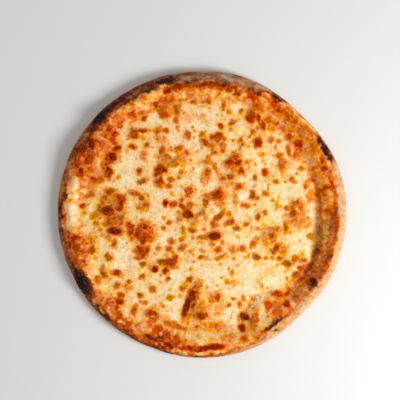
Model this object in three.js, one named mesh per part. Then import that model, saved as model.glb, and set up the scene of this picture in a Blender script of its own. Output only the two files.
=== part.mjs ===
// Margherita pizza, baked whole: a thin round of dough with a raised rim, and the mozzarella that
// melted over it and ran up the inside of the rim. Millimetres, +Z up, resting on the underside.

import * as THREE from 'three';

// Driving dimensions
const meanRadius = 150.4; // from the middle to the outer edge of the rim
const baseThickness = 4; // dough under the cheese
const crownHeight = 15; // top of the rim above the underside
const crownInset = 12.5; // how far the top of the rim lies inside the outer edge
const widestHeight = 5.5; // height at which the rim reaches furthest out
const undersideInset = 6.5; // how far the flat underside stays inside the outer edge
const lipRoundness = 2.3; // 2 is an ellipse, more is squarer
const footRadius = 117.5; // where the bed starts to rise to the rim
const slopeRun = 20; // from that foot out to the top of the slope
const wallRun = 6; // the same for the stretch that starts with a steep wall
const cheeseThickness = 3.6; // over the bed
const fringeThickness = 0.5; // where the cheese runs out on the rim
const cheeseRadius = 139.5; // mean reach of the cheese up the rim
const layerGap = 0.3; // between dough and cheese
const pressedIn = 1.4; // how far the cheese sinks into the dough of the slope
const thinsBefore = 4; // how far before that foot the cheese starts to thin out

// Mesh
const cheeseRings = 32;
const slopeRings = 7; // the outermost cheese rings, from the foot of the slope to the fringe
const stations = 6 * cheeseRings; // points round the rim
const hiddenRings = 3; // dough rings under the cheese on the slope
const lipRings = 7; // dough rings from the fringe to the widest point
const skirtRings = 3; // from there in to the flat underside

// How the pizza departs from a plain round, as [bearing in degrees, amount, half width in degrees]
const outlineSwells = [[163, 2.4, 42], [92, -1.2, 16], [47, -4, 18], [315, -3.4, 13]];
const crownSwells = [[150, 1.6, 30], [350, 1.2, 32], [90, 0.8, 22], [47, -2.2, 15], [313, -1.8, 14],
  [228, -2, 20], [178, -2.6, 12]];
const footSwells = [[175, 6, 14], [225, 6, 24], [152, -5, 10], [350, 1.5, 30], [337, 4, 12], [312, -2, 16]];
const runSwells = [[350, -3, 38], [225, -4, 24], [175, -4, 14]];
const wallShares = [[351, 0.58, 25]]; // how much of the climb is wall
const fringeSwells = [[178, 5, 14], [48, 5, 14], [228, 5, 20], [20, 3, 9], [75, -2, 12], [150, 1, 10]];

// Waves of the surfaces and of the plan curves, as [amount, spacing, seed]
const edgeWaves = [[0.5, 16, 1]];
const fringeWaves = [[1.6, 9, 2]];
const crownWaves = [[1.5, 30, 3]];
const doughWaves = [[0.9, 12, 4], [0.4, 6, 5]];
const cheeseWaves = [[0.7, 26, 7], [0.4, 12, 8]];

// Swellings that stand up, as [x, y, length, width, turn in degrees, rise]
const rimBubbles = [[-105, 103, 24, 11, 45, 2.2], [-126, -71, 27, 12, -61, 2.6], [-38, 138, 18, 8, 15, 1.4],
  [129, 66, 22, 8, -63, 1.5], [115, -71, 10, 10, 0, 1.6], [74, -114, 19, 8, 33, 1.3],
  [78, 120, 13, 7, -33, 1.2], [36, 128, 12, 9, -16, 1.1], [-142, 18, 12, 8, 83, 1.2],
  [10, -140, 34, 8, 4, 1.2], [-52, -130, 16, 9, -22, 1.2], [137, -12, 34, 12, 85, 1.3],
  [133, -40, 16, 11, 73, 1], [-98, -112, 22, 10, -41, 1.2], [100, -103, 18, 9, 44, 1]];
const toastedMounds = [[-98, 80, 24, 20, 20, 1.9], [-117, 40, 30, 19, 60, 1.8], [-126, -33, 25, 27, 0, 1.8],
  [-38, 116, 20, 14, 10, 1.7], [-30, 58, 35, 27, -10, 1.7], [34, 55, 24, 20, 45, 1.8],
  [-62, -20, 18, 17, 30, 1.8], [-35, -52, 22, 10, 5, 1.5], [-91, -18, 14, 8, -15, 1.4],
  [-97, 4, 16, 12, 10, 1.5], [-72, 85, 24, 9, 12, 1.3], [13, -23, 14, 9, 10, 1.4], [17, 19, 12, 11, 0, 1.6],
  [97, 6, 14, 25, -8, 1.7], [52, 101, 13, 15, 0, 1.6], [78, -87, 20, 14, -30, 1.6],
  [0, -106, 12, 9, 0, 1.4], [-80, -98, 26, 14, -40, 1.4], [100, -58, 26, 16, -40, 1.3],
  [-45, 40, 12, 15, 0, 1.3], [60, -104, 34, 18, 58, 1.7]];
const ridge = { x: -4, y: -92, left: 7, right: 15, half: 17, rise: 3.4 }; // steep on its left side
const pleat = { path: [[65, -80], [50, -92], [44, -102], [38, -118]], width: 4.4, depth: 1.6 };
const moundTop = 0.35; // share of a swelling's reach that is flat on top
const moundFoot = 1.3; // share of its reach at which it has died out
const smallBlisters = {
  count: 150, reach: 126, stray: 6, least: 5.2, most: 9.6, flattest: 0.6, rise: 1, seed: 6,
};
const goldenAngle = Math.PI * (3 - Math.sqrt(5));

const degrees = THREE.MathUtils.radToDeg;
const radians = THREE.MathUtils.degToRad;
const { smoothstep, lerp, clamp } = THREE.MathUtils;
const bell = (distance, width) => Math.exp(-((distance / width) ** 2));

function chance(i, j, seed) {
  const value = Math.sin(i * 127.1 + j * 311.7 + seed * 74.7) * 43758.5453;
  return value - Math.floor(value);
}

// Smooth bumps between -1 and 1, about one `scale` apart
function billow(x, y, scale, seed) {
  const column = Math.floor(x / scale);
  const row = Math.floor(y / scale);
  const across = smoothstep(x / scale - column, 0, 1);
  const along = smoothstep(y / scale - row, 0, 1);
  const near = lerp(chance(column, row, seed), chance(column + 1, row, seed), across);
  const far = lerp(chance(column, row + 1, seed), chance(column + 1, row + 1, seed), across);
  return 2 * lerp(near, far, along) - 1;
}

const waved = (x, y, waves) => waves
  .reduce((total, [amount, spacing, seed]) => total + amount * billow(x, y, spacing, seed), 0);

function swelled(mean, swells, angle) {
  const bearing = degrees(angle);
  return swells.reduce((total, [middle, amount, width]) => {
    const turn = ((bearing - middle + 540) % 360) - 180;
    return total + amount * bell(turn, width);
  }, mean);
}

// Height at (x, y) of one flat-topped oval swelling
function mound(x, y, [middleX, middleY, length, width, turn, rise]) {
  const cos = Math.cos(radians(turn));
  const sin = Math.sin(radians(turn));
  const along = ((x - middleX) * cos + (y - middleY) * sin) / (length / 2);
  const across = ((y - middleY) * cos - (x - middleX) * sin) / (width / 2);
  return rise * (1 - smoothstep(Math.hypot(along, across), moundTop, moundFoot));
}

const highest = (x, y, mounds) => mounds.reduce((most, each) => Math.max(most, mound(x, y, each)), 0);

// The plan curves of the pizza, as radii at one bearing
const edge = (angle) => swelled(meanRadius, outlineSwells, angle)
  + waved(Math.cos(angle) * meanRadius, Math.sin(angle) * meanRadius, edgeWaves);
const foot = (angle) => swelled(footRadius, footSwells, angle);
const fringe = (angle) => swelled(cheeseRadius, fringeSwells, angle)
  + waved(Math.cos(angle) * cheeseRadius, Math.sin(angle) * cheeseRadius, fringeWaves);

// Top of the dough at one place: flat bed, slope, crown, and the lip that rolls over to the edge
function doughTop(radius, angle) {
  const x = radius * Math.cos(angle);
  const y = radius * Math.sin(angle);
  const start = foot(angle);
  const outer = edge(angle);
  const crown = swelled(crownHeight, crownSwells, angle) + waved(x, y, crownWaves);
  const slope = smoothstep(radius, start, start + swelled(slopeRun, runSwells, angle));
  const wall = smoothstep(radius, start, start + wallRun);
  const climb = lerp(slope, wall, swelled(0, wallShares, angle));
  const inside = lerp(baseThickness, crown, climb);
  const lip = Math.max(0, (radius - outer + crownInset) / crownInset);
  const roll = Math.max(0, 1 - lip ** lipRoundness) ** (1 / lipRoundness);
  const lumps = waved(x, y, doughWaves) + highest(x, y, rimBubbles);
  return lerp(widestHeight, inside, roll) + lumps * climb * roll;
}

// A blister every golden turn, moved and sized by chance
const blisters = Array.from({ length: smallBlisters.count }, (_, i) => {
  const { count, reach, stray, least, most, flattest, rise, seed } = smallBlisters;
  const [moveX, moveY, size, roundness, turn] = [1, 2, 3, 4, 5].map((draw) => chance(i, draw, seed));
  const radius = reach * Math.sqrt((i + 0.5) / count);
  const x = radius * Math.cos(i * goldenAngle) + stray * (moveX - 0.5);
  const y = radius * Math.sin(i * goldenAngle) + stray * (moveY - 0.5);
  const length = lerp(least, most, size);
  return [x, y, length, length * lerp(flattest, 1, roundness), 180 * turn, rise];
});

// A crease in the cheese along a bent line
function creased(x, y) {
  const distances = pleat.path.slice(1).map(([endX, endY], i) => {
    const [startX, startY] = pleat.path[i];
    const runX = endX - startX;
    const runY = endY - startY;
    const share = ((x - startX) * runX + (y - startY) * runY) / (runX ** 2 + runY ** 2);
    const held = clamp(share, 0, 1);
    return Math.hypot(x - startX - held * runX, y - startY - held * runY);
  });
  return -pleat.depth * bell(Math.min(...distances), pleat.width);
}

function ridged(x, y) {
  const width = x < ridge.x ? ridge.left : ridge.right;
  return ridge.rise * bell(x - ridge.x, width) * bell(y - ridge.y, ridge.half);
}

function cheeseTop(radius, angle) {
  const x = radius * Math.cos(angle);
  const y = radius * Math.sin(angle);
  const thin = smoothstep(radius, foot(angle) - thinsBefore, fringe(angle));
  const thickness = lerp(cheeseThickness, fringeThickness, thin);
  const mounds = highest(x, y, toastedMounds) + highest(x, y, blisters);
  const relief = waved(x, y, cheeseWaves) + mounds + ridged(x, y) + creased(x, y);
  return doughTop(radius, angle) + layerGap + thickness + relief * (1 - thin);
}

// A closed skin made of rings of points, each ring joined to the next
class Skin {
  positions = [];
  faces = [];

  ring(count, place) {
    return Array.from({ length: count }, (_, i) => {
      const angle = (i / count) * 2 * Math.PI;
      const [radius, height] = place(angle);
      this.positions.push(radius * Math.cos(angle), radius * Math.sin(angle), height);
      return this.positions.length / 3 - 1;
    });
  }

  // Joins a ring to the one after it, whatever their numbers of points. Where both come level the
  // inner one steps first, so that two skins along the same rings are split alike.
  join(first, second, goesOut) {
    let i = 0;
    let j = 0;
    while (i < first.length || j < second.length) {
      const from = first[i % first.length];
      const to = second[j % second.length];
      const lead = (j + 1) / second.length - (i + 1) / first.length;
      if (lead > 0 || (lead === 0 && goesOut)) {
        i += 1;
        this.faces.push(from, to, first[i % first.length]);
      } else {
        j += 1;
        this.faces.push(from, to, second[j % second.length]);
      }
    }
  }

  // Starts at a middle point, goes out through some rings and in through the rest to another one
  close(firstHeight, outward, inward, lastHeight) {
    const rings = [...outward, ...inward];
    const [start] = this.ring(1, () => [0, firstHeight]);
    const [end] = this.ring(1, () => [0, lastHeight]);
    const last = rings.length - 1;
    rings[0].forEach((point, i, ring) => this.faces.push(start, point, ring[(i + 1) % ring.length]));
    rings.slice(1).forEach((ring, i) => this.join(rings[i], ring, i + 1 < outward.length));
    rings[last].forEach((point, i, ring) => this.faces.push(end, ring[(i + 1) % ring.length], point));
  }

  geometry() {
    const shape = new THREE.BufferGeometry();
    shape.setAttribute('position', new THREE.Float32BufferAttribute(this.positions, 3));
    shape.setIndex(this.faces);
    shape.computeVertexNormals();
    return shape;
  }
}

// Dough and cheese meet along the same rings, from the foot of the slope out to the fringe
const seam = Array.from({ length: hiddenRings + 1 }, (_, i) => (angle) => {
  const share = i / hiddenRings;
  const radius = lerp(foot(angle), fringe(angle), share);
  return [radius, doughTop(radius, angle) - pressedIn * Math.sin(Math.PI * share)];
});

function crustGeometry() {
  const skin = new Skin();
  const hidden = seam.map((place) => skin.ring(stations, place));
  const lip = Array.from({ length: lipRings }, (_, i) => skin.ring(stations, (angle) => {
    const share = Math.sin(((i + 1) / lipRings) * (Math.PI / 2));
    const radius = lerp(fringe(angle), edge(angle), share);
    return [radius, doughTop(radius, angle)];
  }));
  const skirt = Array.from({ length: skirtRings }, (_, i) => skin.ring(stations, (angle) => {
    const turn = ((i + 1) / skirtRings) * (Math.PI / 2);
    return [edge(angle) - undersideInset * (1 - Math.cos(turn)), widestHeight * (1 - Math.sin(turn))];
  }));
  skin.close(baseThickness, [...hidden, ...lip], skirt, 0);
  return skin.geometry();
}

function cheeseGeometry() {
  const skin = new Skin();
  const bedRings = cheeseRings - slopeRings;
  const top = Array.from({ length: cheeseRings }, (_, i) => skin.ring(6 * (i + 1), (angle) => {
    const onSlope = (i + 1 - bedRings) / slopeRings;
    const bed = foot(angle) * Math.min(1, (i + 1) / bedRings);
    const radius = onSlope > 0 ? lerp(bed, fringe(angle), onSlope) : bed;
    return [radius, cheeseTop(radius, angle)];
  }));
  const under = [...seam].reverse().map((place) => skin.ring(stations, (angle) => {
    const [radius, height] = place(angle);
    return [radius, height + layerGap];
  }));
  skin.close(cheeseTop(0, 0), top, under, baseThickness + layerGap);
  return skin.geometry();
}

const crust = new THREE.Mesh(
  crustGeometry(),
  new THREE.MeshStandardMaterial({ color: '#c98f52', roughness: 0.8, metalness: 0 }),
);
crust.name = 'crust';

const cheese = new THREE.Mesh(
  cheeseGeometry(),
  new THREE.MeshStandardMaterial({ color: '#efc078', roughness: 0.4, metalness: 0 }),
);
cheese.name = 'melted_cheese';

// The middle of the outline stands over the origin
const pizza = new THREE.Group();
pizza.add(crust, cheese);
const middle = new THREE.Box3().setFromObject(pizza).getCenter(new THREE.Vector3());
pizza.position.set(-middle.x, -middle.y, 0);

export default pizza;
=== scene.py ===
import math

import bpy
import numpy as np
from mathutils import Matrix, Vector


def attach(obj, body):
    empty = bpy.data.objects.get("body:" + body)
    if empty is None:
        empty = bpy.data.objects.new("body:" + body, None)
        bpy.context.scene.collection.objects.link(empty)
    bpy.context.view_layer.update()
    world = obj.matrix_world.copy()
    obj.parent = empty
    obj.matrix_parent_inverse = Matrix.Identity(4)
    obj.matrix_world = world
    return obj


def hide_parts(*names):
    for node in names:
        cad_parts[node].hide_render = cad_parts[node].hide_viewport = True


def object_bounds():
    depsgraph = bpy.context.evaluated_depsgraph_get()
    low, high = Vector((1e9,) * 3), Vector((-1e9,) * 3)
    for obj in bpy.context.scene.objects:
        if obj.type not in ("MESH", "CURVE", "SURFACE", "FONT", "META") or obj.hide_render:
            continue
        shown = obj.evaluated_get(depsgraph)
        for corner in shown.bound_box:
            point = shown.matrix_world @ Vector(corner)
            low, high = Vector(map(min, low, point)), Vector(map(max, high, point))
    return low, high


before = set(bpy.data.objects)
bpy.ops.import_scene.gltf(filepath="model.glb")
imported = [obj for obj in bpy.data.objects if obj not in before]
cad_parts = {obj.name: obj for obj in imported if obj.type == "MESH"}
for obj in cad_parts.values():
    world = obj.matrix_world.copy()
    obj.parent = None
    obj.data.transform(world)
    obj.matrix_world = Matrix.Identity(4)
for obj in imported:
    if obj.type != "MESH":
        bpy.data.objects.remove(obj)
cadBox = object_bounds()
mm = 0.001

# The pizza's own form, in millimetres, as in the solids

pizza = dict(
    meanRadius=150.4, crownInset=12.5, widestHeight=5.5, undersideInset=6.5, lipRoundness=2.3,
    baseThickness=4, crownHeight=15, footRadius=117.5, slopeRun=20, wallRun=6,
    cheeseThickness=3.6, cheeseRadius=139.5, layerGap=0.3, thinsBefore=4,
    outlineStations=192,
    moundTop=0.35, moundFoot=1.3,  # shares of a swelling's reach: flat up to one, gone at the other
    # bearing in degrees, amount, half width in degrees
    outlineSwells=[(163, 2.4, 42), (92, -1.2, 16), (47, -4, 18), (315, -3.4, 13)],
    crownSwells=[(150, 1.6, 30), (350, 1.2, 32), (90, 0.8, 22), (47, -2.2, 15), (313, -1.8, 14),
                 (228, -2, 20), (178, -2.6, 12)],
    footSwells=[(175, 6, 14), (225, 6, 24), (152, -5, 10), (350, 1.5, 30), (337, 4, 12), (312, -2, 16)],
    runSwells=[(350, -3, 38), (225, -4, 24), (175, -4, 14)],
    wallShares=[(351, 0.58, 25)],
    fringeSwells=[(178, 5, 14), (48, 5, 14), (228, 5, 20), (20, 3, 9), (75, -2, 12), (150, 1, 10)],
    # amount, spacing, seed
    edgeWaves=[(0.5, 16, 1)],
    fringeWaves=[(1.6, 9, 2)],
    crownWaves=[(1.5, 30, 3)],
    doughWaves=[(0.9, 12, 4), (0.4, 6, 5)],
    cheeseWaves=[(0.7, 26, 7), (0.4, 12, 8)],
    # x, y, length, width, turn in degrees, rise
    rimBubbles=[(-105, 103, 24, 11, 45, 2.2), (-126, -71, 27, 12, -61, 2.6), (-38, 138, 18, 8, 15, 1.4),
                (129, 66, 22, 8, -63, 1.5), (115, -71, 10, 10, 0, 1.6), (74, -114, 19, 8, 33, 1.3),
                (78, 120, 13, 7, -33, 1.2), (36, 128, 12, 9, -16, 1.1), (-142, 18, 12, 8, 83, 1.2),
                (10, -140, 34, 8, 4, 1.2), (-52, -130, 16, 9, -22, 1.2), (137, -12, 34, 12, 85, 1.3),
                (133, -40, 16, 11, 73, 1), (-98, -112, 22, 10, -41, 1.2), (100, -103, 18, 9, 44, 1)],
    toastedMounds=[(-98, 80, 24, 20, 20, 1.9), (-117, 40, 30, 19, 60, 1.8), (-126, -33, 25, 27, 0, 1.8),
                   (-38, 116, 20, 14, 10, 1.7), (-30, 58, 35, 27, -10, 1.7), (34, 55, 24, 20, 45, 1.8),
                   (-62, -20, 18, 17, 30, 1.8), (-35, -52, 22, 10, 5, 1.5), (-91, -18, 14, 8, -15, 1.4),
                   (-97, 4, 16, 12, 10, 1.5), (-72, 85, 24, 9, 12, 1.3), (13, -23, 14, 9, 10, 1.4),
                   (17, 19, 12, 11, 0, 1.6), (97, 6, 14, 25, -8, 1.7), (52, 101, 13, 15, 0, 1.6),
                   (78, -87, 20, 14, -30, 1.6), (0, -106, 12, 9, 0, 1.4), (-80, -98, 26, 14, -40, 1.4),
                   (100, -58, 26, 16, -40, 1.3), (-45, 40, 12, 15, 0, 1.3), (60, -104, 34, 18, 58, 1.7)],
    ridge=dict(x=-4, y=-92, left=7, right=15, half=17, rise=3.4),
    pleat=dict(path=[(65, -80), (50, -92), (44, -102), (38, -118)], width=4.4, depth=1.6),
)


def smoothstep(value, low, high):
    share = np.clip((value - low) / (high - low), 0, 1)
    return share * share * (3 - 2 * share)


def lerp(first, second, share):
    return first + (second - first) * share


def bell(distance, width):
    return np.exp(-(distance / width) ** 2)


def chance(i, j, seed):
    value = np.sin(i * 127.1 + j * 311.7 + seed * 74.7) * 43758.5453
    return value - np.floor(value)


def billow(x, y, scale, seed):  # smooth bumps between -1 and 1, about one scale apart
    column = np.floor(x / scale)
    row = np.floor(y / scale)
    across = smoothstep(x / scale - column, 0, 1)
    along = smoothstep(y / scale - row, 0, 1)
    near = lerp(chance(column, row, seed), chance(column + 1, row, seed), across)
    far = lerp(chance(column, row + 1, seed), chance(column + 1, row + 1, seed), across)
    return 2 * lerp(near, far, along) - 1


def waved(x, y, waves):
    return sum(amount * billow(x, y, spacing, seed) for amount, spacing, seed in waves)


def swelled(mean, swells, angle):
    bearing = np.degrees(angle)
    total = np.full(np.shape(angle), float(mean))
    for middle, amount, width in swells:
        total = total + amount * bell((bearing - middle + 540) % 360 - 180, width)
    return total


def plan(radius, angle):
    return radius * np.cos(angle), radius * np.sin(angle)


def ovalReach(x, y, spot):  # 1 on the outline of an oval (x, y, length, width, turn, ...)
    turn = math.radians(spot[4])
    along = (x - spot[0]) * math.cos(turn) + (y - spot[1]) * math.sin(turn)
    across = (y - spot[1]) * math.cos(turn) - (x - spot[0]) * math.sin(turn)
    return np.hypot(along / (spot[2] / 2), across / (spot[3] / 2))


def highest(x, y, mounds):
    height = np.zeros(np.shape(x))
    for spot in mounds:
        near = np.hypot(x - spot[0], y - spot[1]) < max(spot[2], spot[3])
        share = 1 - smoothstep(ovalReach(x[near], y[near], spot), pizza["moundTop"], pizza["moundFoot"])
        height[near] = np.maximum(height[near], spot[5] * share)
    return height


def edge(angle):
    mean = pizza["meanRadius"]
    return swelled(mean, pizza["outlineSwells"], angle) + waved(*plan(mean, angle), pizza["edgeWaves"])


def foot(angle):
    return swelled(pizza["footRadius"], pizza["footSwells"], angle)


def fringe(angle):
    mean = pizza["cheeseRadius"]
    return swelled(mean, pizza["fringeSwells"], angle) + waved(*plan(mean, angle), pizza["fringeWaves"])


def doughTop(radius, angle):
    x, y = plan(radius, angle)
    start, outer = foot(angle), edge(angle)
    crown = swelled(pizza["crownHeight"], pizza["crownSwells"], angle) + waved(x, y, pizza["crownWaves"])
    slope = smoothstep(radius, start, start + swelled(pizza["slopeRun"], pizza["runSwells"], angle))
    wall = smoothstep(radius, start, start + pizza["wallRun"])
    climb = lerp(slope, wall, swelled(0, pizza["wallShares"], angle))
    inside = lerp(pizza["baseThickness"], crown, climb)
    lip = np.clip((radius - outer + pizza["crownInset"]) / pizza["crownInset"], 0, 1)
    roll = (1 - lip ** pizza["lipRoundness"]) ** (1 / pizza["lipRoundness"])
    lumps = waved(x, y, pizza["doughWaves"]) + highest(x, y, pizza["rimBubbles"])
    return lerp(pizza["widestHeight"], inside, roll) + lumps * climb * roll


def creased(x, y):
    path = pizza["pleat"]["path"]
    nearest = np.full(np.shape(x), np.inf)
    for (startX, startY), (endX, endY) in zip(path, path[1:]):
        runX, runY = endX - startX, endY - startY
        share = np.clip(((x - startX) * runX + (y - startY) * runY) / (runX ** 2 + runY ** 2), 0, 1)
        nearest = np.minimum(nearest, np.hypot(x - startX - share * runX, y - startY - share * runY))
    return -pizza["pleat"]["depth"] * bell(nearest, pizza["pleat"]["width"])


def ridged(x, y):
    ridge = pizza["ridge"]
    width = np.where(x < ridge["x"], ridge["left"], ridge["right"])
    return ridge["rise"] * bell(x - ridge["x"], width) * bell(y - ridge["y"], ridge["half"])


def middleOfOutline():  # the solids stand with the middle of their outline over the origin
    angle = np.arange(pizza["outlineStations"]) / pizza["outlineStations"] * 2 * np.pi
    x, y = plan(edge(angle), angle)
    return (x.max() + x.min()) / 2, (y.max() + y.min()) / 2


middleX, middleY = middleOfOutline()

# How it browned

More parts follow.
